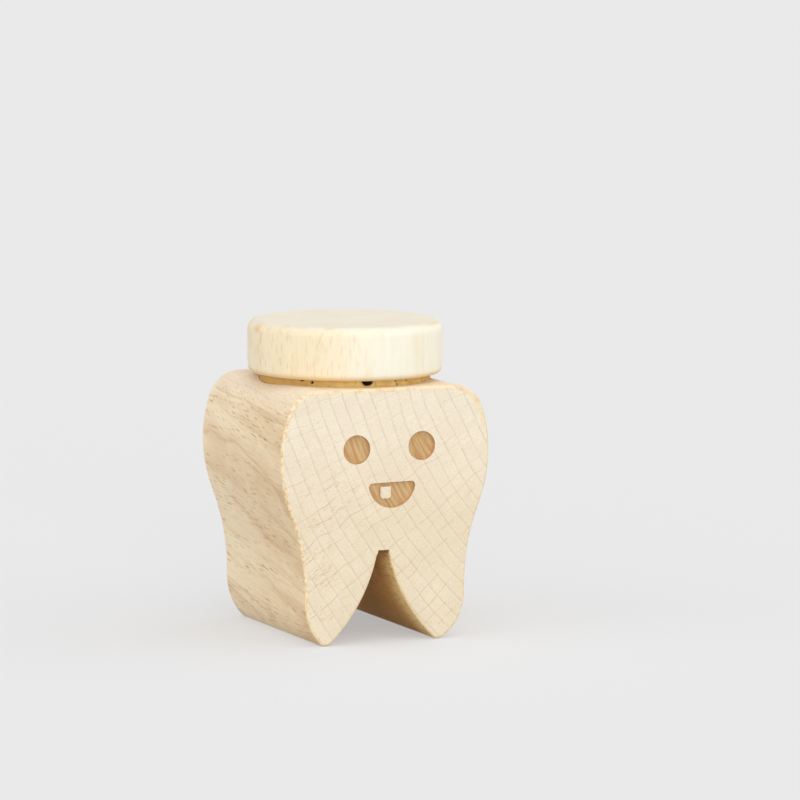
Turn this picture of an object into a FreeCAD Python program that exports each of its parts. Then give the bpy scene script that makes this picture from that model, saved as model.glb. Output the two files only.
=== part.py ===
"""Baby tooth box: a tooth-shaped block of beech, bored from above and closed by a capped cork.

Millimetres, +Z up. The engraved front looks along -Y, and the origin is on the table under the
middle of the tooth. Each piece is written to its own file in parts/.
"""
import FreeCAD
import Part
import math
import os
from FreeCAD import Vector

# Tooth block
body_width = 42.0
body_depth = 37.4
body_height = 47.1
edge_round = 0.6

# Outer outline, from the flat top down to the foot: radii, and the degrees that arcs turn.
# The right-hand root runs straight for longer, and its toe is rounder.
shoulder_radius = 6.4
shoulder_turn = 70.3
crown_radius = 23.9
cheek_radius = 26.9
cheek_turn = 22.0
root_lean = 1.1
left_root_straight = 1.9
left_toe_radius = 10.9
left_toe_turn = 43.8
right_root_straight = 3.3
right_toe_radius = 9.4
right_toe_turn = 58.8
tip_radius = 0.8
foot_flat = 1.15

# Arch between the two roots, which stands a little left of the middle, and the saw kerf above it
arch_height = 16.5
arch_radius = 31.5
arch_shift = -0.4
arch_flat = 1.4
arch_round = 0.5
kerf_width = 2.2
kerf_rise = 0.7

# Cavity, and the stopper that wedges in its mouth
front_wall = 2.7
floor_thickness = 8.1
cork_clearance = 0.1
cork_taper = 4.0
cork_inside = 9.0
cork_reveal = 1.2
cork_lead = 0.6

# Turned cap on the stopper, whose side tapers in a little towards the lower rim
cap_overhang = 2.2
cap_thickness = 9.8
cap_round = 1.9
cap_taper_in = 0.2
cap_taper_up = 3.3
cap_arris = 0.5

# Engraved face, placed down from the top of the tooth and across from its middle
engraving_depth = 0.5
face_shift = 0.6
face_tilt = 0.8
eye_diameter = 5.4
eye_spacing = 13.1
eye_drop = 11.0
mouth_radius = 4.75
mouth_corner = 0.8
mouth_drop = 17.4
mouth_shift = 0.5
milk_tooth_width = 2.1
milk_tooth_height = 2.2
milk_tooth_corner = 0.6
milk_tooth_gap = 0.75
milk_tooth_shift = -1.3

# Sizes that follow from the ones above
front_y = -body_depth / 2
bore_radius = body_depth / 2 - front_wall
cavity_floor = arch_height + kerf_rise + floor_thickness
cap_bottom = body_height + cork_reveal
eye_z = body_height - eye_drop
mouth_x = face_shift + mouth_shift
mouth_z = body_height - mouth_drop

upward = Vector(0, 0, 1)
backward = Vector(0, 1, 0)


def sine(degrees):
    return math.sin(math.radians(degrees))


def cosine(degrees):
    return math.cos(math.radians(degrees))


def right_of(heading):
    """Unit vector to the right of a heading, which is in degrees from +X towards +Z."""
    return Vector(sine(heading), 0, -cosine(heading))


def straight(begin, end):
    return Part.LineSegment(begin, end).toShape()


class Outline:
    """A chain of lines and arcs in the XZ plane, each tangent to the one before."""

    def __init__(self, x, z, heading):
        self.start = Vector(x, 0, z)
        self.end = self.start
        self.heading = heading
        self.edges = []

    def line(self, length):
        begin = self.end
        self.end = begin + length * Vector(cosine(self.heading), 0, sine(self.heading))
        self.edges.append(straight(begin, self.end))

    def bend(self, radius, turn):
        """Turn right by a positive angle, or left by a negative one."""
        side = math.copysign(radius, turn)
        begin = self.end
        center = begin + side * right_of(self.heading)
        halfway = center - side * right_of(self.heading - turn / 2)
        self.heading -= turn
        self.end = center - side * right_of(self.heading)
        self.edges.append(Part.Arc(begin, halfway, self.end).toShape())


def outer_side(root_straight, toe_radius, toe_turn):
    """Outline of a right-hand side from the end of the flat top, over crown and waist, to the foot.

    The flat top is what the arcs leave of the width, and the hollow waist what they leave of the
    height.
    """
    top_half = body_width / 2 - shoulder_radius * sine(shoulder_turn)
    top_half -= crown_radius * (1 - sine(shoulder_turn))
    toe_end = root_lean + toe_turn
    crown_drop = shoulder_radius * (1 - cosine(shoulder_turn))
    crown_drop += crown_radius * cosine(shoulder_turn)
    crown_drop += cheek_radius * sine(cheek_turn)
    root_drop = root_straight * cosine(root_lean)
    root_drop += toe_radius * (sine(toe_end) - sine(root_lean))
    root_drop += tip_radius * (1 - sine(toe_end))
    waist_drop = body_height - crown_drop - root_drop
    waist_radius = waist_drop / (sine(cheek_turn) - sine(root_lean))
    side = Outline(top_half, body_height, 0)
    side.bend(shoulder_radius, shoulder_turn)
    side.bend(crown_radius, 90 - shoulder_turn)
    side.bend(cheek_radius, cheek_turn)
    side.bend(waist_radius, root_lean - cheek_turn)
    side.line(root_straight)
    side.bend(toe_radius, toe_turn)
    side.bend(tip_radius, 90 - toe_end)
    return side


def heading_on(center, point):
    """Heading of a right-hand arc about center, where it passes in line with point."""
    return math.degrees(math.atan2(center.x - point.x, point.z - center.z))


def arch_side(half_span):
    """Right-hand side of the arch, from the foot up to the flat at its top.

    The side is one arc that touches the round of the root's tip and the round of the corner
    above, so its centre is where two circles about the centres of those rounds cross.
    """
    tip = Vector(half_span, 0, tip_radius)
    corner = Vector(arch_flat / 2, 0, arch_height - arch_round)
    span = corner - tip
    to_tip = arch_radius - tip_radius
    to_corner = arch_radius + arch_round
    along = (span.Length ** 2 + to_tip ** 2 - to_corner ** 2) / (2 * span.Length)
    across = math.sqrt(to_tip ** 2 - along ** 2)
    direction = span / span.Length
    center = tip + along * direction + across * Vector(direction.z, 0, -direction.x)
    leaves_tip = heading_on(center, tip)
    meets_corner = heading_on(center, corner)
    side = Outline(half_span, 0, 180)
    side.bend(tip_radius, 180 - leaves_tip)
    side.bend(arch_radius, leaves_tip - meets_corner)
    side.bend(arch_round, meets_corner - 180)
    return side


def mirrored(edge):
    return edge.mirror(Vector(0, 0, 0), Vector(1, 0, 0))


def opposite(point):
    return Vector(-point.x, point.y, point.z)


def tooth_outline():
    """Closed outline of the tooth: two outer sides, and the shifted arch between two feet."""
    left = outer_side(left_root_straight, left_toe_radius, left_toe_turn)
    right = outer_side(right_root_straight, right_toe_radius, right_toe_turn)
    arch = arch_side(left.end.x - foot_flat)
    shift = Vector(arch_shift, 0, 0)
    edges = right.edges + [mirrored(edge) for edge in left.edges]
    edges += [edge.translated(shift) for edge in arch.edges]
    edges += [mirrored(edge).translated(shift) for edge in arch.edges]
    edges.append(straight(opposite(left.start), right.start))
    edges.append(straight(right.end, arch.start + shift))
    edges.append(straight(arch.end + shift, opposite(arch.end) + shift))
    edges.append(straight(opposite(arch.start) + shift, opposite(left.end)))
    return Part.Wire(Part.__sortEdges__(edges))


def tooth_block():
    """The outline through the whole depth, sanded round along both faces."""
    face = Part.Face(tooth_outline()).translated(front_y * backward)
    block = face.extrude(body_depth * backward)
    rims = [edge for edge in block.Edges if edge.BoundBox.YLength < edge_round]
    return block.makeFillet(edge_round, rims)


def kerf():
    """A straight saw cut with sharp edges, which goes on a little above the arch."""
    start = Vector(arch_shift - kerf_width / 2, front_y, arch_height - kerf_rise)
    return Part.makeBox(kerf_width, body_depth, 2 * kerf_rise, start)


def pocket(outline):
    """Closes an outline and cuts it as deep into the front face as the engraving goes."""
    wire = Part.Wire(outline.edges + [straight(outline.end, outline.start)])
    face = Part.Face(wire).translated((front_y - engraving_depth) * backward)
    return face.extrude(2 * engraving_depth * backward)


def eye(side):
    start = Vector(face_shift + side * eye_spacing / 2, front_y - engraving_depth, eye_z)
    return Part.makeCylinder(eye_diameter / 2, 2 * engraving_depth, start, backward)


def mouth():
    """A half disc with rounded corners, in which one milk tooth is left standing."""
    to_corner = mouth_radius - mouth_corner
    corner_x = math.sqrt(to_corner ** 2 - mouth_corner ** 2)
    corner_dip = math.degrees(math.asin(mouth_corner / to_corner))
    smile = Outline(mouth_x + corner_x, mouth_z, 0)
    smile.bend(mouth_corner, 90 + corner_dip)
    smile.bend(mouth_radius, 180 - 2 * corner_dip)
    smile.bend(mouth_corner, 90 + corner_dip)
    milk_tooth_right = mouth_x + milk_tooth_shift + milk_tooth_width / 2
    milk_tooth = Outline(milk_tooth_right, mouth_z - milk_tooth_gap, -90)
    milk_tooth.line(milk_tooth_height - milk_tooth_corner)
    milk_tooth.bend(milk_tooth_corner, 90)
    milk_tooth.line(milk_tooth_width - 2 * milk_tooth_corner)
    milk_tooth.bend(milk_tooth_corner, 90)
    milk_tooth.line(milk_tooth_height - milk_tooth_corner)
    return pocket(smile).cut(pocket(milk_tooth))


def engraving():
    face = Part.Compound([eye(-1), eye(1), mouth()])
    face.rotate(Vector(face_shift, 0, eye_z), -backward, face_tilt)
    return face


def cavity():
    """A flat-bottomed bore from the top."""
    return Part.makeCylinder(bore_radius, cap_bottom - cavity_floor, cavity_floor * upward)


def tooth_body():
    return tooth_block().cut(kerf()).cut(cavity()).cut(engraving())


def cork_radius(z):
    """The cork tapers, and is snug in the bore level with the top of the tooth."""
    return bore_radius - cork_clearance + (z - body_height) * math.tan(math.radians(cork_taper))


def cork_stopper():
    bottom = body_height - cork_inside
    lead_top = bottom + cork_lead
    section = Part.makePolygon([
        Vector(0, 0, bottom),
        Vector(cork_radius(bottom) - cork_lead, 0, bottom),
        Vector(cork_radius(lead_top), 0, lead_top),
        Vector(cork_radius(cap_bottom), 0, cap_bottom),
        Vector(0, 0, cap_bottom),
        Vector(0, 0, bottom),
    ])
    return Part.Face(section).revolve(Vector(0, 0, 0), upward, 360)


def lid_cap():
    """A turned disc that overhangs the cork, with a rounded upper rim and a broken lower one."""
    radius = bore_radius + cap_overhang
    lower_radius = radius - cap_taper_in
    side = Outline(radius, cap_bottom + cap_taper_up, 90)
    side.line(cap_thickness - cap_taper_up - cap_round)
    side.bend(cap_round, -90)
    rest = Part.makePolygon([
        side.end,
        Vector(0, 0, side.end.z),
        Vector(0, 0, cap_bottom),
        Vector(lower_radius - cap_arris, 0, cap_bottom),
        Vector(lower_radius, 0, cap_bottom + cap_arris),
        side.start,
    ])
    section = Part.Wire(side.edges + rest.Edges)
    return Part.Face(section).revolve(Vector(0, 0, 0), upward, 360)


os.makedirs("parts", exist_ok=True)
for node, shape in (
    ("tooth_body", tooth_body()),
    ("cork_stopper", cork_stopper()),
    ("lid_cap", lid_cap()),
):
    solid = shape.Solids[0]
    box = solid.optimalBoundingBox()
    print(f"{node}: {len(shape.Solids)} solid, {solid.Volume / 1000:.2f} cm3,"
          f" {box.XLength:.2f} x {box.YLength:.2f} x {box.ZLength:.2f} mm")
    solid.exportStep(f"parts/{node}.step")
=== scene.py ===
# %% [markdown]
# # A wooden box for milk teeth
#
# The object is a block of beech in the shape of a molar, bored from above and closed by a cork that
# carries a turned wooden cap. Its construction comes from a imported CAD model, which is loaded first
# and stays as it is. This lesson adds what a camera sees: the grain of the wood, burnished edges, the
# engraved smile, a pitted cork, soft light and a camera at the photograph's angle.

# %% Load the frame
import bmesh
import bpy
import math
import random
from mathutils import Matrix, Vector


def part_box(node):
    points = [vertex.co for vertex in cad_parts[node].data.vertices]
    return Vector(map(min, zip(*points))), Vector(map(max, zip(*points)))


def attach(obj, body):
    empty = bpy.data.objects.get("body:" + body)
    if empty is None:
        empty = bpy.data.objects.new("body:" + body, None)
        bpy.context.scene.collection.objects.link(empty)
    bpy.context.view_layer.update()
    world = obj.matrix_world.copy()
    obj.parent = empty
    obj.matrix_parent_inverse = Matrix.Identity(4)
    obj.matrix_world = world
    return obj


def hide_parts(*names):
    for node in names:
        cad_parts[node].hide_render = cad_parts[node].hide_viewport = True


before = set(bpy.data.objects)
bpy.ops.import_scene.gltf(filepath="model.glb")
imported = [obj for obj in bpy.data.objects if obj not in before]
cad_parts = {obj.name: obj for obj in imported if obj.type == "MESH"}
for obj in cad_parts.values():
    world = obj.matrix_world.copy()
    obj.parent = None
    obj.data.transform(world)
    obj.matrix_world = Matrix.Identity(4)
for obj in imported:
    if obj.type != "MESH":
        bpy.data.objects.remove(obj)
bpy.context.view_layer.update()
MM = 0.001
print("nodes:", sorted(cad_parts))

# %% [markdown]
# ## The camera
#
# The photograph was taken from far away with a long lens, a little left of the front and a little
# above it. The tooth stands left of the picture's middle and below it, so the camera aims past it.
# A matrix built from three axes says all of this at once, and needs no lens shift.

# %% Camera
view_yaw = math.radians(-25.05)
view_pitch = math.radians(6.97)
view_roll = math.radians(0.48)
view_distance = 0.8818
aim_height = 0.0294
aim_right = 0.01043
aim_up = 0.01329
lens_length = 212.4
sensor_width = 36
sight_limit = 50

back = Vector((
    math.sin(view_yaw) * math.cos(view_pitch),
    -math.cos(view_yaw) * math.cos(view_pitch),
    math.sin(view_pitch),
))
level_right = Vector((math.cos(view_yaw), math.sin(view_yaw), 0))
level_up = back.cross(level_right)
right = math.cos(view_roll) * level_right + math.sin(view_roll) * level_up
up = math.cos(view_roll) * level_up - math.sin(view_roll) * level_right
eye_point = Vector((0, 0, aim_height)) + aim_right * right + aim_up * up + view_distance * back

camera = bpy.data.objects.new("camera", bpy.data.cameras.new("camera"))
camera.data.lens = lens_length
camera.data.sensor_width = sensor_width
camera.data.clip_end = sight_limit
turn = Matrix((right, up, back)).transposed().to_4x4()
camera.matrix_world = Matrix.Translation(eye_point) @ turn
bpy.context.scene.collection.objects.link(camera)
bpy.context.scene.camera = camera
bpy.context.scene.view_settings.view_transform = "Standard"
print("camera stands at, in mm:", [round(part / MM) for part in eye_point])

# %% [markdown]
# ## A helper for node trees
#
# Every finish below is a small program made of nodes. Writing each node, link and default by hand
# hides the idea, so this class adds a node or two per call and accepts either a number or another
# node's output for any input. Most finishes are built from masks, which are values from 0 to 1 that
# say how much of something is at a place.


# %% Node helper
class Graph:
    """Adds nodes to a tree. Inputs may be plain values or outputs of other nodes."""

    def __init__(self, tree):
        self.tree = tree

    def node(self, kind, inputs=(), **settings):
        node = self.tree.nodes.new(kind)
        for name, value in settings.items():
            setattr(node, name, value)
        for key, value in dict(inputs).items():
            self.feed(node.inputs[key], value)
        return node

    def feed(self, socket, value):
        if isinstance(value, bpy.types.NodeSocket):
            self.tree.links.new(value, socket)
        else:
            socket.default_value = value

    def math(self, operation, *values):
        node = self.node("ShaderNodeMath", enumerate(values), operation=operation)
        return node.outputs[0]

    def plus(self, first, *others):
        for other in others:
            first = self.math("ADD", first, other)
        return first

    def times(self, first, *others):
        """The product of values. A product of masks holds only where all of them hold."""
        for other in others:
            first = self.math("MULTIPLY", first, other)
        return first

    def between(self, mask, at_none, at_full):
        """Goes evenly from one number to another as a mask rises from 0 to 1."""
        return self.math("MULTIPLY_ADD", mask, at_full - at_none, at_none)

    def centred(self, value, reach):
        """Moves a value from 0 to 1 so that it swings about 0, with that reach from end to end."""
        return self.times(self.math("SUBTRACT", value, 0.5), reach)

    def step(self, value, low, high):
        """0 below low and 1 above high, or the reverse if low is the larger."""
        inputs = {"Value": value, "From Min": low, "From Max": high}
        return self.node("ShaderNodeMapRange", inputs, interpolation_type="SMOOTHSTEP").outputs[0]

    def mix(self, factor, first, second):
        node = self.node("ShaderNodeMix", data_type="RGBA", blend_type="MIX")
        self.feed(node.inputs["Factor"], factor)
        self.feed(node.inputs["A"], first)
        self.feed(node.inputs["B"], second)
        return node.outputs["Result"]

    def tint(self, base, mask, share, colour):
        """Mixes a share of a colour into a base where a mask says."""
        return self.mix(self.times(mask, share), base, colour)

    def vector(self, x, y, z):
        return self.node("ShaderNodeCombineXYZ", {"X": x, "Y": y, "Z": z}).outputs[0]

    def split(self, vector):
        return self.node("ShaderNodeSeparateXYZ", {"Vector": vector}).outputs

    def length(self, vector):
        return self.node("ShaderNodeVectorMath", {0: vector}, operation="LENGTH").outputs["Value"]

    def noise(self, vector, detail=2.0, scale=1.0):
        inputs = {"Vector": vector, "Scale": scale, "Detail": detail}
        return self.node("ShaderNodeTexNoise", inputs).outputs["Fac"]

    def chance(self, x, y, z):
        """A random number from 0 to 1 for each set of three whole numbers."""
        numbers = self.vector(x, y, z)
        return self.node("ShaderNodeTexWhiteNoise", {"Vector": numbers}).outputs["Value"]


def new_finish(name):
    """A new material, its graph and its shader."""
    material = bpy.data.materials.new(name)
    material.use_nodes = True
    return material, Graph(material.node_tree), material.node_tree.nodes["Principled BSDF"]


def paint(red, green, blue):
    """A colour as a picture editor shows it, from 0 to 255, as the linear values that nodes use."""
    def linear(part):
        part /= 255
        return part / 12.92 if part <= 0.04045 else ((part + 0.055) / 1.055) ** 2.4
    return (linear(red), linear(green), linear(blue), 1.0)


print("front of the beech in linear light:", [round(part, 2) for part in paint(242, 228, 203)])

# %% [markdown]
# ## Floor and background
#
# The photograph shows one even, pale grey all round the object, and only a faint shadow. A curved
# studio backdrop could give that. A large flat floor under a world of the same grey does it as well,
# and has no curve to place.
#
# A floor lit like the object would either show too dark a shadow or throw too much light upwards. So
# its paper has two colours. One is for the light that it throws back on the object. The other is for
# the camera: it is darker, but lifted by an even glow that also fills the shadow. Only rays that show
# the background, straight on or mirrored, see the glow, so it doesn't light the matt wood.


# %% Floor
def shows_background(graph):
    """1 for rays that show the background: straight to the camera, mirrored or through glass."""
    path = graph.node("ShaderNodeLightPath").outputs
    seen = graph.plus(path["Is Camera Ray"], path["Is Glossy Ray"], path["Is Transmission Ray"])
    return graph.math("MINIMUM", seen, 1.0)


def as_object(name, form):
    """Turns a finished bmesh into an object of the scene."""
    mesh = bpy.data.meshes.new(name)
    form.to_mesh(mesh)
    form.free()
    made = bpy.data.objects.new(name, mesh)
    bpy.context.scene.collection.objects.link(made)
    return made


floor_half = 8.0
floor_drop = 0.05 * MM
floor_glow = 0.40
thrown_back = paint(209, 209, 211)
seen_paper = paint(176, 176, 177)

form = bmesh.new()
bmesh.ops.create_grid(form, x_segments=1, y_segments=1, size=floor_half)
bmesh.ops.translate(form, vec=(0, 0, -floor_drop), verts=form.verts)
floor = as_object("floor", form)

floor_paper, sheet, paper = new_finish("floor_paper")
paper.inputs["Roughness"].default_value = 1.0
paper.inputs["Specular IOR Level"].default_value = 0.0
paper.inputs["Emission Color"].default_value = (1, 1, 1, 1)
in_view = shows_background(sheet)
sheet.feed(paper.inputs["Base Color"], sheet.mix(in_view, thrown_back, seen_paper))
sheet.feed(paper.inputs["Emission Strength"], sheet.times(in_view, floor_glow))
floor.data.materials.append(floor_paper)
print("floor is", 2 * floor_half, "m wide")

# %% [markdown]
# ## Light
#
# Part of the studio's light comes from low in front. It reaches in under the cap and shows the cork,
# which light from above would leave in the dark. Area lamps could stand for the softboxes, but they
# light what is near them more. Suns with a very wide disc are as soft, and light the whole floor
# evenly. A dim world fills in, and shows the camera the grey of the background instead.


# %% Lights
def softbox(name, toward, strength, spread):
    """A wide sun that shines from a direction. A strength of 1 lights a facing surface fully."""
    light = bpy.data.lights.new(name, "SUN")
    light.energy = math.pi * strength
    light.angle = math.radians(spread)
    lamp = bpy.data.objects.new(name, light)
    lamp.rotation_mode = "QUATERNION"
    lamp.rotation_quaternion = Vector(toward).to_track_quat("Z", "Y")
    bpy.context.scene.collection.objects.link(lamp)


softbox("low front", toward=(-0.30, -1.0, 0.20), strength=0.24, spread=30)
softbox("left", toward=(-1.0, -0.25, 0.30), strength=0.33, spread=80)
softbox("overhead", toward=(0.5, -0.4, 1.0), strength=0.42, spread=100)
world_light = 0.46
seen_sky = paint(234, 234, 234)

world = bpy.data.worlds.new("studio")
world.use_nodes = True
bpy.context.scene.world = world
sky = Graph(world.node_tree)
shown = world.node_tree.nodes["Background"]
dim = (world_light, world_light, world_light, 1)
sky.feed(shown.inputs["Color"], sky.mix(shows_background(sky), dim, seen_sky))

# %% [markdown]
# ## How beech is built
#
# A tree grows in rings about its pith. In beech, thin rays run outwards from the pith and cross the
# rings. Where the wood is cut across, as on the tooth's face, rings and rays make a fine crooked
# grid. Where it is cut along, as on the sides, the same rings become long bands, and the rays, met
# end on, become the short dark flecks that beech is known by.
#
# A flat picture of wood could not turn those corners. So the grain is a solid pattern: a node group
# takes a place inside the log, in millimetres, with the pith on the Y axis, and tells how much ring
# line, ray, fleck and fibre is there. The tooth and the cap both use it, each with its own log.


# %% Grain group
def open_group(name, inputs, outputs):
    """A new node group with the named sockets, its graph and its ends."""
    group = bpy.data.node_groups.new(name, "ShaderNodeTree")
    for socket, kind in inputs.items():
        group.interface.new_socket(socket, in_out="INPUT", socket_type="NodeSocket" + kind)
    for socket in outputs:
        group.interface.new_socket(socket, in_out="OUTPUT", socket_type="NodeSocketFloat")
    graph = Graph(group)
    return group, graph, graph.node("NodeGroupInput").outputs, graph.node("NodeGroupOutput").inputs


grain_inputs = {
    "Place": "Vector",
    "Pith Distance": "Float",
    "Ring Width": "Float",
    "Ring Shift": "Float",
    "Wobble": "Float",
    "Wave": "Float",
}
grain_outputs = [
    "Ring Line", "Early Wood", "Late Wood", "Tile", "Ray", "Fine Ray",
    "Fleck", "Fibre", "Streak", "Fine Streak", "Speckle", "Cloud",
]
grain_group, wood, given, told = open_group("beech_grain", grain_inputs, grain_outputs)
across_x, along, across_z = wood.split(given["Place"])
radius = wood.length(wood.vector(across_x, 0.0, across_z))
tangent = wood.times(wood.math("ARCTAN2", across_z, across_x), given["Pith Distance"])


def stretched(across_size, along_size):
    """Places for a noise whose grains are that large, in millimetres, across and along the log."""
    return wood.vector(
        wood.math("DIVIDE", across_x, across_size),
        wood.math("DIVIDE", along, along_size),
        wood.math("DIVIDE", across_z, across_size),
    )


def curled(radius_size, along_size, tangent_size):
    """The same, measured outwards from the pith, along the log and round the rings."""
    return wood.vector(
        wood.math("DIVIDE", radius, radius_size),
        wood.math("DIVIDE", along, along_size),
        wood.math("DIVIDE", tangent, tangent_size),
    )


print("grain group tells", len(grain_outputs), "things about a place")

# %% [markdown]
# A ring is one year's growth: pale early wood, then denser late wood that ends in a line. Circles
# would look drawn, so the radius is bent by a slow and a quick noise, and by a wave along the log for
# pieces that ask for it. The bent radius, counted in rings, numbers the ring by its whole part, and
# its fraction tells how late in the year a place grew.

# %% Rings
slow_reach = wood.times(given["Wobble"], 4.0)
slow_bend = wood.centred(wood.noise(stretched(11, 70), detail=1.0), slow_reach)
quick_reach = wood.times(given["Wobble"], 0.8)
quick_bend = wood.centred(wood.noise(stretched(1.3, 20)), quick_reach)
wave_bend = wood.centred(wood.noise(stretched(12, 16), detail=1.0), given["Wave"])
bent_radius = wood.plus(radius, slow_bend, quick_bend, wave_bend)
ring = wood.plus(wood.math("DIVIDE", bent_radius, given["Ring Width"]), given["Ring Shift"])
ring_number = wood.math("FLOOR", ring)
ring_phase = wood.math("FRACT", ring)

soft_share = 0.38
sharp_share = 0.55
line_fade = wood.step(wood.noise(curled(2, 30, 2.2)), 0.34, 0.62)
soft_line = wood.times(wood.step(ring_phase, 0.78, 0.97), soft_share)
sharp_line = wood.times(wood.step(ring_phase, 0.92, 0.985), line_fade, sharp_share)
wood.feed(told["Ring Line"], wood.plus(soft_line, sharp_line))
wood.feed(told["Early Wood"], wood.step(ring_phase, 0.22, 0.0))

late_power = 6.0
late_rise = wood.math("POWER", ring_phase, late_power)
late_end = wood.step(ring_phase, 1.0, 0.90)
late_break = wood.step(wood.noise(stretched(0.5, 9)), 0.32, 0.60)
ring_strength = wood.between(wood.chance(ring_number, 1.0, 1.0), 0.3, 1.0)
wood.feed(told["Late Wood"], wood.times(late_rise, late_end, late_break, ring_strength))
print("rings bring the group to", len(grain_group.nodes), "nodes")

# %% [markdown]
# Rays are thin sheets of cells that run out from the pith. Steps of one ray gap round the log give
# each ray a number, and chance gives each a place within its step. The other whole numbers given to
# chance only keep one throw apart from the next. A ray leaves the cut face sooner or later, so it is
# shown in stretches and dashes. The finest rays come in patches and need no numbers: noise that is
# far longer than wide is enough.

# %% Rays
ray_gap = 2.1
ray_sway = 2.0
stretches_per_ring = 0.45
swayed = wood.plus(tangent, wood.centred(wood.noise(curled(6, 40, 5), detail=1.0), ray_sway))
ray_place = wood.math("DIVIDE", swayed, ray_gap)
ray_number = wood.math("FLOOR", ray_place)
ray_middle = wood.between(wood.chance(ray_number, 3.0, 0.0), 0.2, 0.8)
off_ray = wood.math("SUBTRACT", wood.math("FRACT", ray_place), ray_middle)
ray_start = wood.chance(ray_number, 7.0, 0.0)
stretch = wood.math("FLOOR", wood.plus(wood.times(ring, stretches_per_ring), ray_start))
ray_shown = wood.step(wood.chance(ray_number, stretch, 11.0), 0.12, 0.75)
ray_dash = wood.step(wood.noise(curled(2.2, 3, 2.5), detail=1.0), 0.27, 0.55)
ray_line = wood.step(wood.math("ABSOLUTE", off_ray), 0.05, 0.01)
wood.feed(told["Ray"], wood.times(ray_line, ray_shown, ray_dash))

hatch_patch = wood.step(wood.noise(stretched(4, 30), detail=1.0), 0.35, 0.60)
hatch = wood.step(wood.noise(curled(1.5, 1.5, 0.14), detail=1.0), 0.55, 0.67)
wood.feed(told["Fine Ray"], wood.times(hatch, hatch_patch))
wood.feed(told["Tile"], wood.chance(ring_number, ray_number, 5.0))
print("rays bring the group to", len(grain_group.nodes), "nodes")

# %% [markdown]
# Flecks are short, dark and pointed at both ends. Voronoi cells that are stretched along the log have
# that shape, and the random colour of each cell decides how dark its fleck is. Fibres, streaks,
# speckles and clouds are noise of different sizes, stretched more or less along the log.

# %% Flecks and fibres
fleck_cells = {"Vector": stretched(0.28, 3.2), "Scale": 1.0}
cells = wood.node("ShaderNodeTexVoronoi", fleck_cells, feature="F1").outputs
fleck_here = wood.step(wood.split(cells["Color"])[0], 0.25, 0.9)
fleck_patch = wood.step(wood.noise(stretched(4, 12)), 0.20, 0.50)
fleck_body = wood.step(cells["Distance"], 0.42, 0.20)
wood.feed(told["Fleck"], wood.times(fleck_body, fleck_here, fleck_patch))
wood.feed(told["Fibre"], wood.noise(stretched(0.25, 5), detail=3.0))
wood.feed(told["Speckle"], wood.noise(stretched(0.21, 0.7)))
wood.feed(told["Cloud"], wood.noise(stretched(8, 30)))
wood.feed(told["Streak"], wood.noise(curled(0.55, 60, 6)))
wood.feed(told["Fine Streak"], wood.noise(curled(0.2, 40, 4), detail=1.0))
print("grain group has", len(grain_group.nodes), "nodes")

# %% [markdown]
# ## The beech of the tooth
#
# The block was sawn so that its front is end grain, with the pith up to the right of it, and its
# grain falls a little towards the front. A Mapping node turns the object's own coordinates into
# places in that log. The faces could be sorted by hand into end grain and long grain, but they tell
# by themselves which cut they are: a normal along the grain means end grain, and any other means
# long grain.


# %% Beech material
def log_place(graph, pith, tilt):
    """Places in the log whose pith passes through a point, in millimetres, turned about X."""
    coordinates = graph.node("ShaderNodeTexCoord").outputs["Object"]
    turn = Matrix.Rotation(tilt, 3, "X")
    inputs = {
        "Vector": coordinates,
        "Scale": (1 / MM, 1 / MM, 1 / MM),
        "Rotation": turn.to_euler(),
        "Location": -(turn @ Vector(pith)),
    }
    return graph.node("ShaderNodeMapping", inputs).outputs[0]


def grain(graph, place, **values):
    """The grain at a place in the log. The group's other inputs are given by name."""
    node = graph.node("ShaderNodeGroup", node_tree=grain_group)
    graph.feed(node.inputs["Place"], place)
    for name, value in values.items():
        graph.feed(node.inputs[name.replace("_", " ").title()], value)
    return node.outputs


beech, skin, beech_shader = new_finish("sanded_beech")
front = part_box("tooth_body")[0].y / MM
tooth_pith = (77.5, front, 73.5)
grain_fall = math.radians(-10.5)
side_wave = 4.4

seen_place = log_place(skin, tooth_pith, grain_fall)
normal_y, normal_z = skin.split(skin.node("ShaderNodeNewGeometry").outputs["Normal"])[1:]
in_metres = skin.node("ShaderNodeTexCoord").outputs["Object"]
scaled = skin.node("ShaderNodeVectorMath", {0: in_metres, "Scale": 1 / MM}, operation="SCALE")
place_x, place_y, place_z = skin.split(scaled.outputs[0])
depth = skin.math("SUBTRACT", place_y, front)
wave_reach = skin.times(skin.step(depth, 1.0, 14.0), side_wave)
seen_grain = grain(
    skin, seen_place,
    pith_distance=92.0, ring_width=2.5, ring_shift=-0.156, wobble=0.35, wave=wave_reach,
)
facing = skin.math("ABSOLUTE", normal_y)
end_grain = skin.step(facing, 0.55, 0.95)
print("front of the tooth lies at", round(front, 1), "mm")

# %% [markdown]
# Sanding leaves end grain pale. Each tile of the grid between rings and rays has its own shade, and
# the lines themselves are only a little darker. The crown is the palest part, and the finest rays
# show best low on the left. So the colour is laid on in thin coats, each where one mask says.

# %% End grain colours
cloud = skin.step(seen_grain["Cloud"], 0.35, 0.65)
crown = skin.step(place_z, 22.0, 42.0)
dark_speckle = skin.step(seen_grain["Speckle"], 0.45, 0.75)
pale_speckle = skin.step(seen_grain["Speckle"], 0.50, 0.25)
low_left = skin.times(skin.step(place_x, 2.0, -12.0), skin.step(place_z, 38.0, 24.0))
ray_share = skin.between(crown, 0.65, 0.30)
hatch_share = skin.between(low_left, 0.15, 0.70)

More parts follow.
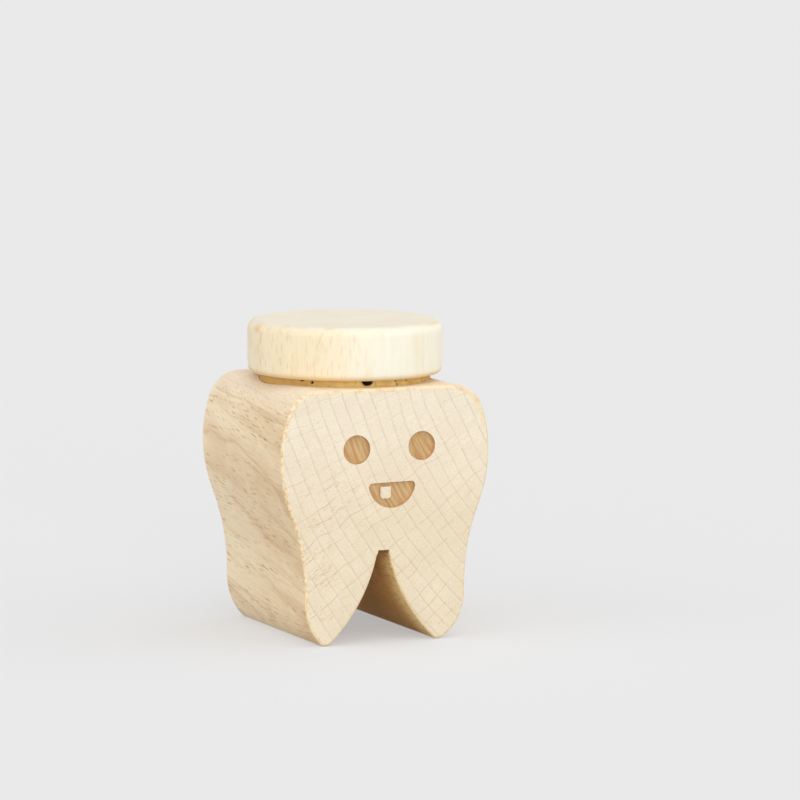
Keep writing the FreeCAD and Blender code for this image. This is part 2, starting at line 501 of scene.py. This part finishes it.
end_wood = skin.mix(cloud, paint(238, 223, 191), paint(244, 230, 202))
end_wood = skin.tint(end_wood, crown, 0.7, paint(254, 243, 222))
end_wood = skin.tint(end_wood, seen_grain["Tile"], 0.35, paint(236, 220, 199))
end_wood = skin.tint(end_wood, dark_speckle, 0.45, paint(221, 200, 165))
end_wood = skin.tint(end_wood, pale_speckle, 0.45, paint(250, 241, 224))
end_wood = skin.tint(end_wood, seen_grain["Early Wood"], 0.35, paint(247, 237, 217))
end_wood = skin.tint(end_wood, seen_grain["Ring Line"], 0.5, paint(201, 177, 140))
end_wood = skin.tint(end_wood, seen_grain["Ray"], ray_share, paint(212, 179, 134))
end_wood = skin.tint(end_wood, seen_grain["Fine Ray"], hatch_share, paint(217, 186, 142))
print("end grain is mixed from", len(beech.node_tree.nodes), "nodes")

# %% [markdown]
# Long grain is warmer. Bands of late wood run along it, broken into streaks. The side is painted a
# little darker at the waist, as painted shade, and is paler towards the back. It is laid on in coats
# as well. The flecks follow later, so that they also cross the sawn places.

# %% Long grain colours
fibre = skin.step(seen_grain["Fibre"], 0.3, 0.7)
shaded_waist = skin.times(skin.step(place_z, 36.0, 28.0), skin.step(place_z, 12.0, 20.0))
far_back = skin.step(depth, 12.0, 32.0)
warm_cloud = skin.step(seen_grain["Cloud"], 0.45, 0.65)
streak = skin.step(seen_grain["Streak"], 0.55, 0.75)

long_wood = skin.mix(fibre, paint(241, 215, 174), paint(252, 232, 197))
# Painted shade: the side is darker at the waist.
long_wood = skin.tint(long_wood, shaded_waist, 0.25, paint(224, 192, 150))
long_wood = skin.tint(long_wood, far_back, 0.55, paint(255, 239, 207))
long_wood = skin.tint(long_wood, warm_cloud, 0.55, paint(222, 187, 142))
long_wood = skin.tint(long_wood, seen_grain["Late Wood"], 1.0, paint(198, 152, 98))
long_wood = skin.tint(long_wood, streak, 0.4, paint(212, 172, 122))
print("long grain brings the nodes to", len(beech.node_tree.nodes))

# %% [markdown]
# The arch between the roots looks sawn and not sanded: orange and frayed, and darker and browner at
# its narrow top. Its mouth is painted paler, as painted light where the light reaches in. The
# engraving goes through the pale skin into darker wood. Both could have materials of their own on
# faces picked out by hand. Masks made from place, depth and normal find them as well, and leave the
# CAD mesh alone.

# %% Sawn arch
sawn_half = 10.0
sawn_top = 17.5
narrow_top_low = 14.8
soft_border = 0.2
between_roots = skin.step(skin.math("ABSOLUTE", place_x), sawn_half + soft_border, sawn_half)
in_arch = skin.times(between_roots, skin.step(place_z, sawn_top + soft_border, sawn_top))
mouth_painted_light = skin.times(in_arch, skin.step(depth, 8.0, 0.5))
narrow_top_dark = skin.times(in_arch, skin.step(place_z, narrow_top_low, sawn_top))
fray = skin.times(in_arch, skin.step(seen_grain["Fibre"], 0.48, 0.66))
fray_share = skin.between(skin.step(place_z, 7.0, 15.0), 0.2, 0.6)
painted_light_from_above = skin.step(normal_z, 0.2, 0.9)

long_wood = skin.tint(long_wood, in_arch, 0.88, paint(221, 162, 72))
# Painted light: the arch's mouth is paler where the light reaches in.
long_wood = skin.tint(long_wood, mouth_painted_light, 0.85, paint(255, 226, 162))
# The narrow top of the arch is darker and browner.
long_wood = skin.tint(long_wood, narrow_top_dark, 0.7, paint(158, 98, 40))
long_wood = skin.tint(long_wood, fray, fray_share, paint(142, 98, 54))
long_wood = skin.tint(long_wood, seen_grain["Fleck"], 0.75, paint(182, 130, 78))
# Painted light from above: faces that look up are paler.
long_wood = skin.tint(long_wood, painted_light_from_above, 0.6, paint(251, 235, 213))
bare = skin.mix(end_grain, long_wood, end_wood)
print("sawn arch brings the nodes to", len(beech.node_tree.nodes))

# %% Engraving
faces_front = skin.step(normal_y, -0.97, -0.995)
carved = skin.times(faces_front, skin.step(depth, 0.3, 0.45), skin.step(depth, 1.0, 0.9))
pocket_wall = skin.times(skin.step(normal_y, -0.16, -0.1), skin.step(depth, 0.55, 0.48))
wide_stripe = skin.step(seen_grain["Streak"], 0.33, 0.67)
red_stripe = skin.step(seen_grain["Streak"], 0.44, 0.36)
fine_stripe = skin.step(seen_grain["Fine Streak"], 0.52, 0.70)
carved_speckle = skin.step(seen_grain["Speckle"], 0.4, 0.8)

carved_wood = skin.mix(wide_stripe, paint(198, 157, 103), paint(221, 186, 136))
carved_wood = skin.tint(carved_wood, red_stripe, 0.5, paint(212, 146, 92))
carved_wood = skin.tint(carved_wood, fine_stripe, 0.5, paint(166, 120, 74))
carved_wood = skin.tint(carved_wood, carved_speckle, 0.4, paint(180, 142, 98))
bare = skin.mix(carved, bare, carved_wood)
bare = skin.mix(pocket_wall, bare, paint(206, 164, 112))
print("engraving brings the nodes to", len(beech.node_tree.nodes))

# %% [markdown]
# Sanding has burnished the rounded edges to a warm yellow with orange blotches, and scuffed them
# orange along the left and low on the right, where a paler yellow is a painted highlight. Along the
# crown it also wore a narrow facet into the front. An edge wear map could be painted by hand, but two
# rules find the same places. On a rounded edge the normal lies between along the grain and across
# it. The facet lies on the flat front, so it is measured inwards from the two arcs of the tooth's
# outline, with a ragged border.

# %% Worn facet
shoulder_middle = (13.58, 40.7)
shoulder_radius = 6.4
crown_middle = (-2.9, 34.8)
crown_radius = 23.9
shoulder_begins = 42.9
margin = 0.1
ragged_reach = 1.6


def inside_arc(middle, arc_radius):
    """How far a place on the front lies inside an arc that is mirrored on both sides."""
    beyond = skin.math("SUBTRACT", skin.math("ABSOLUTE", place_x), middle[0])
    aside = skin.math("MAXIMUM", beyond, 0.0)
    above = skin.math("SUBTRACT", place_z, middle[1])
    return skin.math("SUBTRACT", arc_radius, skin.length(skin.vector(aside, 0.0, above)))


on_shoulder = skin.step(place_z, shoulder_begins - margin, shoulder_begins + margin)
on_crown = skin.math("SUBTRACT", 1.0, on_shoulder)
from_shoulder = skin.times(on_shoulder, inside_arc(shoulder_middle, shoulder_radius))
from_crown = skin.times(on_crown, inside_arc(crown_middle, crown_radius))
ragged = skin.centred(skin.noise(seen_place, detail=3.0, scale=1.6), ragged_reach)
from_edge = skin.plus(from_shoulder, from_crown, ragged)
wide_corner = skin.times(skin.step(place_x, 13.5, 17.0), skin.step(place_z, 37.5, 41.0))
facet_width = skin.between(wide_corner, 0.75, 1.30)
near_edge = skin.step(skin.math("SUBTRACT", facet_width, from_edge), 0.0, 0.25)
high_enough = skin.step(place_z, 37.0, 40.0)
on_front = skin.step(depth, 0.3, 0.1)
facet = skin.times(near_edge, high_enough, end_grain, on_front)
print("worn facet brings the nodes to", len(beech.node_tree.nodes))

# %% Burnished edges
bored_radius = 16.0
under_bore = 19.5
facet_share = 0.8
right_share = 0.6
rounded = skin.times(skin.step(facing, 0.05, 0.4), skin.step(facing, 0.998, 0.94))
burnish = skin.times(rounded, skin.between(in_arch, 1.0, 0.3))
burnish = skin.math("MAXIMUM", burnish, skin.times(facet, facet_share))
from_axis = skin.length(skin.vector(place_x, place_y, 0.0))
outside_bore = skin.step(from_axis, bored_radius + margin, bored_radius + 2 * margin)
below_bore = skin.step(place_z, under_bore + 1.0, under_bore)
burnish = skin.times(burnish, skin.math("MAXIMUM", outside_bore, below_bore))

blotch = skin.step(skin.noise(seen_place, scale=0.55), 0.52, 0.70)
left_edge = skin.step(place_x, -13.0, -17.0)
right_edge = skin.times(skin.step(place_x, 11.0, 14.0), skin.step(place_z, 36.0, 24.0))
scuffed_and_highlit_edge = skin.plus(left_edge, skin.times(right_edge, right_share))
scuff = skin.step(skin.noise(seen_place, detail=3.0, scale=1.3), 0.45, 0.58)
scuffed = skin.times(scuff, scuffed_and_highlit_edge)
torn = skin.times(scuffed, skin.step(seen_grain["Speckle"], 0.5, 0.7))

burnish_and_highlight = skin.mix(blotch, paint(247, 226, 182), paint(240, 202, 145))
# Painted highlight: a paler yellow along the scuffed edges.
burnish_and_highlight = skin.tint(burnish_and_highlight, scuffed_and_highlit_edge, 0.6, paint(253, 239, 202))
burnish_and_highlight = skin.tint(burnish_and_highlight, scuffed, 0.75, paint(237, 190, 124))
burnish_and_highlight = skin.tint(burnish_and_highlight, torn, 0.6, paint(190, 138, 84))
bare = skin.tint(bare, burnish, 0.8, burnish_and_highlight)
skin.feed(beech_shader.inputs["Base Color"], bare)
print("the whole beech takes", len(beech.node_tree.nodes), "nodes")

# %% [markdown]
# Ring lines and flecks lie a few hundredths of a millimetre below the sanded skin. That is far too
# little to model, so a bump lets it bend the light. Bare wood is dull, a little more so along some
# fibres than along others.


# %% Beech surface
def roughen(graph, shader, height, depth):
    """Lets a height, in shares of a depth in millimetres, bend the light."""
    bump = graph.node("ShaderNodeBump", {"Height": height, "Distance": depth * MM, "Strength": 1.0})
    graph.feed(shader.inputs["Normal"], bump.outputs[0])


bare_gloss = 0.3
dents = skin.mix(end_grain, seen_grain["Fleck"], seen_grain["Ring Line"])
roughen(skin, beech_shader, skin.math("SUBTRACT", seen_grain["Speckle"], dents), 0.03)
skin.feed(beech_shader.inputs["Roughness"], skin.between(seen_grain["Fibre"], 0.52, 0.72))
beech_shader.inputs["Specular IOR Level"].default_value = bare_gloss
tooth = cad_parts["tooth_body"]
tooth.data.materials.clear()
tooth.data.materials.append(beech)
print("tooth wears", tooth.data.materials[0].name)

# %% [markdown]
# ## The turned cap
#
# The cap is a slice of a turned rod, and a lathe leaves its shape: a side that tapers in a little
# towards the bottom, and sanded rounds above and below. So it is made the same way here, as half of
# its outline, whose two corners are rounded before it is spun once round. It takes the place of the
# plainer CAD cap, which has a cut corner below.

# %% Lathe
same_point = 0.001 * MM


def half_outline(form, corners):
    """Joins corners, given by radius and height, into half of a turned piece's outline."""
    points = [form.verts.new((corner_radius, 0, z)) for corner_radius, z in corners]
    for pair in zip(points, points[1:]):
        form.edges.new(pair)
    return points


def spin_round(form, steps):
    """Spins the outline once round the upright axis and closes it there."""
    bmesh.ops.spin(
        form, geom=form.verts[:] + form.edges[:], cent=(0, 0, 0), axis=(0, 0, 1),
        angle=2 * math.pi, steps=steps, use_merge=True,
    )
    bmesh.ops.remove_doubles(form, verts=form.verts, dist=same_point)
    bmesh.ops.recalc_face_normals(form, faces=form.faces)


def smooth_sides(piece, flat_limit):
    """Shades a turned piece smooth, except for faces that look up or down more than the limit."""
    for face in piece.data.polygons:
        face.use_smooth = abs(face.normal.z) < flat_limit


cap_low, cap_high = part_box("lid_cap")
print("cap is", round((cap_high.z - cap_low.z) / MM, 1), "mm high")

# %% Cap shape
cap_radius = cap_high.x
taper_in = 0.2 * MM
taper_up = 3.3 * MM
upper_round = 1.9 * MM
lower_round = 0.9 * MM
round_segments = 10
cap_steps = 240

form = bmesh.new()
points = half_outline(form, [
    (0, cap_low.z),
    (cap_radius - taper_in, cap_low.z),
    (cap_radius, cap_low.z + taper_up),
    (cap_radius, cap_high.z),
    (0, cap_high.z),
])
for corner, rounding in ((points[1], lower_round), (points[3], upper_round)):
    bmesh.ops.bevel(
        form, geom=[corner], offset=rounding, segments=round_segments, profile=0.5,
        affect="VERTICES", material=-1,
    )
print("half outline of the cap has", len(form.verts), "points")

# %% Spin the cap
spin_round(form, cap_steps)
cap = as_object("turned_cap", form)
smooth_sides(cap, flat_limit=0.999)
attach(cap, "lid")
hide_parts("lid_cap")
print("cap has", len(cap.data.polygons), "faces")

# %% [markdown]
# The cap's wood is of the same kind as the tooth, but paler. Its grain runs upright, so the rim shows
# short upright streaks and the top is end grain with faint lines. The same grain group does both,
# with the log stood on end. The left side of the rim carries more streaks and flecks, and is painted
# darker and warmer as painted shade.

# %% Cap material
cap_wood, rod, cap_shader = new_finish("turned_pale_wood")
rod_pith = (-60.0, 34.0, 0.0)
stood_on_end = math.radians(90)
rod_place = log_place(rod, rod_pith, stood_on_end)
rod_grain = grain(
    rod, rod_place,
    pith_distance=65.0, ring_width=2.2, ring_shift=0.3, wobble=0.4, wave=0.0,
)
cap_place = rod.node("ShaderNodeTexCoord").outputs["Object"]
cap_x, cap_y, cap_z = rod.split(cap_place)
cap_normal_z = rod.split(rod.node("ShaderNodeNewGeometry").outputs["Normal"])[2]
upright = rod.math("ABSOLUTE", cap_normal_z)
cap_end = rod.step(upright, 0.5, 0.95)


def rod_noise(across, along, detail):
    """Noise in the rod, with that many grains to a millimetre across it and along it."""
    inputs = {"Vector": rod_place, "Scale": (across, along, across)}
    return rod.noise(rod.node("ShaderNodeMapping", inputs).outputs[0], detail)


print("cap's wood starts with", len(cap_wood.node_tree.nodes), "nodes")

# %% Rim and top colours
shaded_streaky_left = rod.step(cap_x, 1.5 * MM, -17 * MM)
turned_away = rod.step(cap_y, -9 * MM, 4 * MM)
wide_band = rod.step(rod_noise(0.36, 0.10, detail=3.0), 0.45, 0.70)
streak_patch = rod.step(rod_grain["Cloud"], 0.40, 0.60)
streaks = rod.times(rod.step(rod_grain["Streak"], 0.50, 0.74), streak_patch)
blot = rod.step(rod_noise(1.3, 0.3, detail=2.0), 0.56, 0.74)
streak_share = rod.between(shaded_streaky_left, 0.1, 0.5)
fleck_share = rod.between(shaded_streaky_left, 0.1, 0.45)
top_cloud = rod.step(rod_grain["Cloud"], 0.3, 0.7)

# Painted shade: the left side of the rim is darker and warmer.
rim_wood = rod.mix(shaded_streaky_left, paint(255, 250, 229), paint(250, 233, 197))
rim_wood = rod.tint(rim_wood, turned_away, 0.6, paint(255, 242, 215))
rim_wood = rod.tint(rim_wood, wide_band, 0.27, paint(244, 225, 187))
rim_wood = rod.tint(rim_wood, streaks, streak_share, paint(240, 217, 173))
rim_wood = rod.tint(rim_wood, rod_grain["Fleck"], fleck_share, paint(214, 172, 118))
rim_wood = rod.tint(rim_wood, blot, fleck_share, paint(226, 186, 126))
top_wood = rod.mix(top_cloud, paint(240, 229, 208), paint(244, 235, 216))
top_wood = rod.tint(top_wood, rod_grain["Ring Line"], 0.15, paint(224, 205, 178))
turned = rod.mix(cap_end, rim_wood, top_wood)
print("rim and top bring the nodes to", len(cap_wood.node_tree.nodes))

# %% [markdown]
# The cap's lower rim is painted yellower, as painted shade and a painted reflection of the cork
# below it. Its rounds are worn in places, and one small stain sits near the upper edge at the left.
# These could be painted by hand. Each is simple enough to be one more coat, placed by height, by
# normal or by the distance from a point.

# %% Cap wear and surface
spot_middle = Vector((-17.6, -0.5, 56.9)) * MM
spot_flattening = (1.0, 1.0, 1.8)
from_spot = rod.node("ShaderNodeVectorMath", {0: cap_place, 1: spot_middle}, operation="SUBTRACT")
flat_spot = {0: from_spot.outputs[0], 1: spot_flattening}
flattened = rod.node("ShaderNodeVectorMath", flat_spot, operation="MULTIPLY")
spot = rod.step(rod.length(flattened.outputs[0]), 2.0 * MM, 0.7 * MM)
rim_underside_shade = rod.step(cap_z, cap_low.z + 1.4 * MM, cap_low.z + 0.2 * MM)
rounds = rod.times(rod.step(upright, 0.6, 0.9), rod.step(upright, 0.999, 0.96))
worn = rod.times(rounds, rod.step(rod.noise(rod_place, detail=3.0, scale=0.35), 0.42, 0.70))

# Painted shade and a painted reflection of the cork: the lower rim is yellower.
turned = rod.tint(turned, rim_underside_shade, 0.6, paint(226, 188, 124))
turned = rod.tint(turned, worn, 0.4, paint(230, 200, 156))
turned = rod.tint(turned, spot, 0.45, paint(235, 186, 116))
rod.feed(cap_shader.inputs["Base Color"], turned)
rod.feed(cap_shader.inputs["Roughness"], rod.between(rod_grain["Fibre"], 0.45, 0.65))
roughen(rod, cap_shader, rod_grain["Fibre"], 0.007)
cap_shader.inputs["Specular IOR Level"].default_value = bare_gloss
cap.data.materials.append(cap_wood)
print("cap wears", cap.data.materials[0].name)

# %% [markdown]
# ## The cork
#
# Cork is bark, cut into a tapered plug. Its sides are open wherever a breathing pore was cut through,
# and those pits show as dark holes, the largest right under the cap. They have to be real hollows,
# because they are seen from the side, so the plug is spun from a fine profile and its skin is pushed
# in at each pit. How deep each point went is kept as an attribute, which the finish reads to darken
# the pits, deeper ones more: the pores' dark dust with painted shade in the hollows.

# %% Cork shape
cork_low, cork_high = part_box("cork_stopper")
cork_points = [vertex.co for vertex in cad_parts["cork_stopper"].data.vertices]
lead_height = 0.6 * MM
cork_rows = 44
cork_steps = 400


def cork_radius_below(height):
    """The largest radius that the CAD cork has below a height above its foot."""
    return max(point.xy.length for point in cork_points if point.z < cork_low.z + height)


rim_radius = cork_high.x
foot_radius = cork_radius_below(lead_height / 2)
lead_radius = cork_radius_below(1.1 * lead_height)

form = bmesh.new()
points = half_outline(form, [
    (0, cork_low.z),
    (foot_radius, cork_low.z),
    (lead_radius, cork_low.z + lead_height),
    (rim_radius, cork_high.z),
    (0, cork_high.z),
])
side = form.edges.get((points[2], points[3]))
bmesh.ops.subdivide_edges(form, edges=[side], cuts=cork_rows)
spin_round(form, cork_steps)
print("cork has", len(form.faces), "faces before its pits")


# %% Cork pits
def pit(angle, below_rim, width, height, depth):
    """A pit at an angle in degrees round the cork, with its sizes in millimetres."""
    return math.radians(angle), cork_high.z - below_rim * MM, width * MM, height * MM, depth * MM


pits = [
    pit(angle=-99.1, below_rim=0.15, width=1.05, height=0.85, depth=1.5),
    pit(angle=-136.7, below_rim=0.55, width=0.28, height=0.3, depth=0.6),
    pit(angle=-78.3, below_rim=0.35, width=0.2, height=0.2, depth=0.5),
    pit(angle=-69.0, below_rim=0.3, width=0.22, height=0.22, depth=0.5),
]
small_pits = 70
chances = random.Random(20)
for _ in range(small_pits):
    width = chances.uniform(0.12, 0.45) * MM
    pits.append((
        chances.uniform(-math.pi, math.pi),
        chances.uniform(cork_low.z, cork_high.z),
        width,
        width * chances.uniform(0.5, 1.4),
        width * chances.uniform(0.8, 1.6),
    ))
print("cork has", len(pits), "pits")

# %% Push in the pits
skin_depth = 0.5 * MM
sunk_map = form.verts.layers.float.new("sunk")
for vertex in form.verts:
    radius_here = vertex.co.xy.length
    if radius_here < foot_radius - skin_depth:
        continue
    angle = math.atan2(vertex.co.y, vertex.co.x)
    sunk = 0.0
    for pit_angle, pit_z, width, height, pit_depth in pits:
        aside = math.remainder(angle - pit_angle, 2 * math.pi) * radius_here / width
        above = (vertex.co.z - pit_z) / height
        inside = 1 - aside * aside - above * above
        if inside > 0:
            sunk = max(sunk, pit_depth * math.sqrt(inside))
    vertex[sunk_map] = sunk / MM
    vertex.co.xy *= (radius_here - sunk) / radius_here

cork = as_object("pitted_cork", form)
smooth_sides(cork, flat_limit=0.6)
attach(cork, "lid")
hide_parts("cork_stopper")
deepest = max(point.value for point in cork.data.attributes["sunk"].data)
print("deepest pit goes in by", round(deepest, 2), "mm")

# %% [markdown]
# Cork is made of granules with darker seams between them. The rim that shows below the cap is
# painted a light yellow ochre, as painted light in the cap's shade, and its left end as painted
# shade. The rest is hidden in the bore, and is taken to be browner. Voronoi cells make the granules,
# which are too small to model, and noise makes the change of tone that both colours share.

# %% Cork material
cork_bark, bark, cork_shader = new_finish("cork_bark")
granule_scale = 900.0
tone_scale = 500.0
bark_place = bark.node("ShaderNodeTexCoord").outputs["Object"]
bark_x, _, bark_z = bark.split(bark_place)
granule_cells = {"Vector": bark_place, "Scale": granule_scale}
granules = bark.node("ShaderNodeTexVoronoi", granule_cells, feature="F1")
tone = bark.noise(bark_place, detail=4.0, scale=tone_scale)
below_rim = bark.step(bark_z, cork_high.z - 1.2 * MM, cork_high.z - 2.4 * MM)
shaded_end = bark.step(bark_x, -4 * MM, -16 * MM)
seam = bark.step(granules.outputs["Distance"], 0.55, 1.1)
sunk_here = bark.node("ShaderNodeAttribute", attribute_name="sunk").outputs["Fac"]
pit_dust_and_shade = bark.step(sunk_here, 0.02, 0.45)

brown_bark = bark.mix(tone, paint(186, 138, 86), paint(222, 182, 128))
# Painted light: the rim under the cap is a light yellow ochre; below it the cork is browner.
bark_with_painted_light = bark.mix(bark.step(tone, 0.3, 0.7), paint(226, 190, 112), paint(243, 213, 138))
bark_with_painted_light = bark.tint(bark_with_painted_light, below_rim, 0.75, brown_bark)
bark_with_painted_light = bark.tint(bark_with_painted_light, shaded_end, 0.8, paint(201, 159, 89))
bark_with_painted_light = bark.mix(seam, bark_with_painted_light, paint(204, 158, 88))
# The pits darken with depth: the pores' dark dust with painted shade in the hollows.
bark_with_painted_light = bark.mix(pit_dust_and_shade, bark_with_painted_light, paint(62, 38, 19))
bark.feed(cork_shader.inputs["Base Color"], bark_with_painted_light)
cork_shader.inputs["Roughness"].default_value = 0.85
cork_shader.inputs["Specular IOR Level"].default_value = 0.2
roughen(bark, cork_shader, tone, 0.08)
cork.data.materials.append(cork_bark)
print("cork wears", cork.data.materials[0].name)

# %% [markdown]
# ## Finish
#
# The dressed model has to keep the size of the CAD model. Last, the scene is brought up to date.

# %% Finish
bpy.context.view_layer.update()
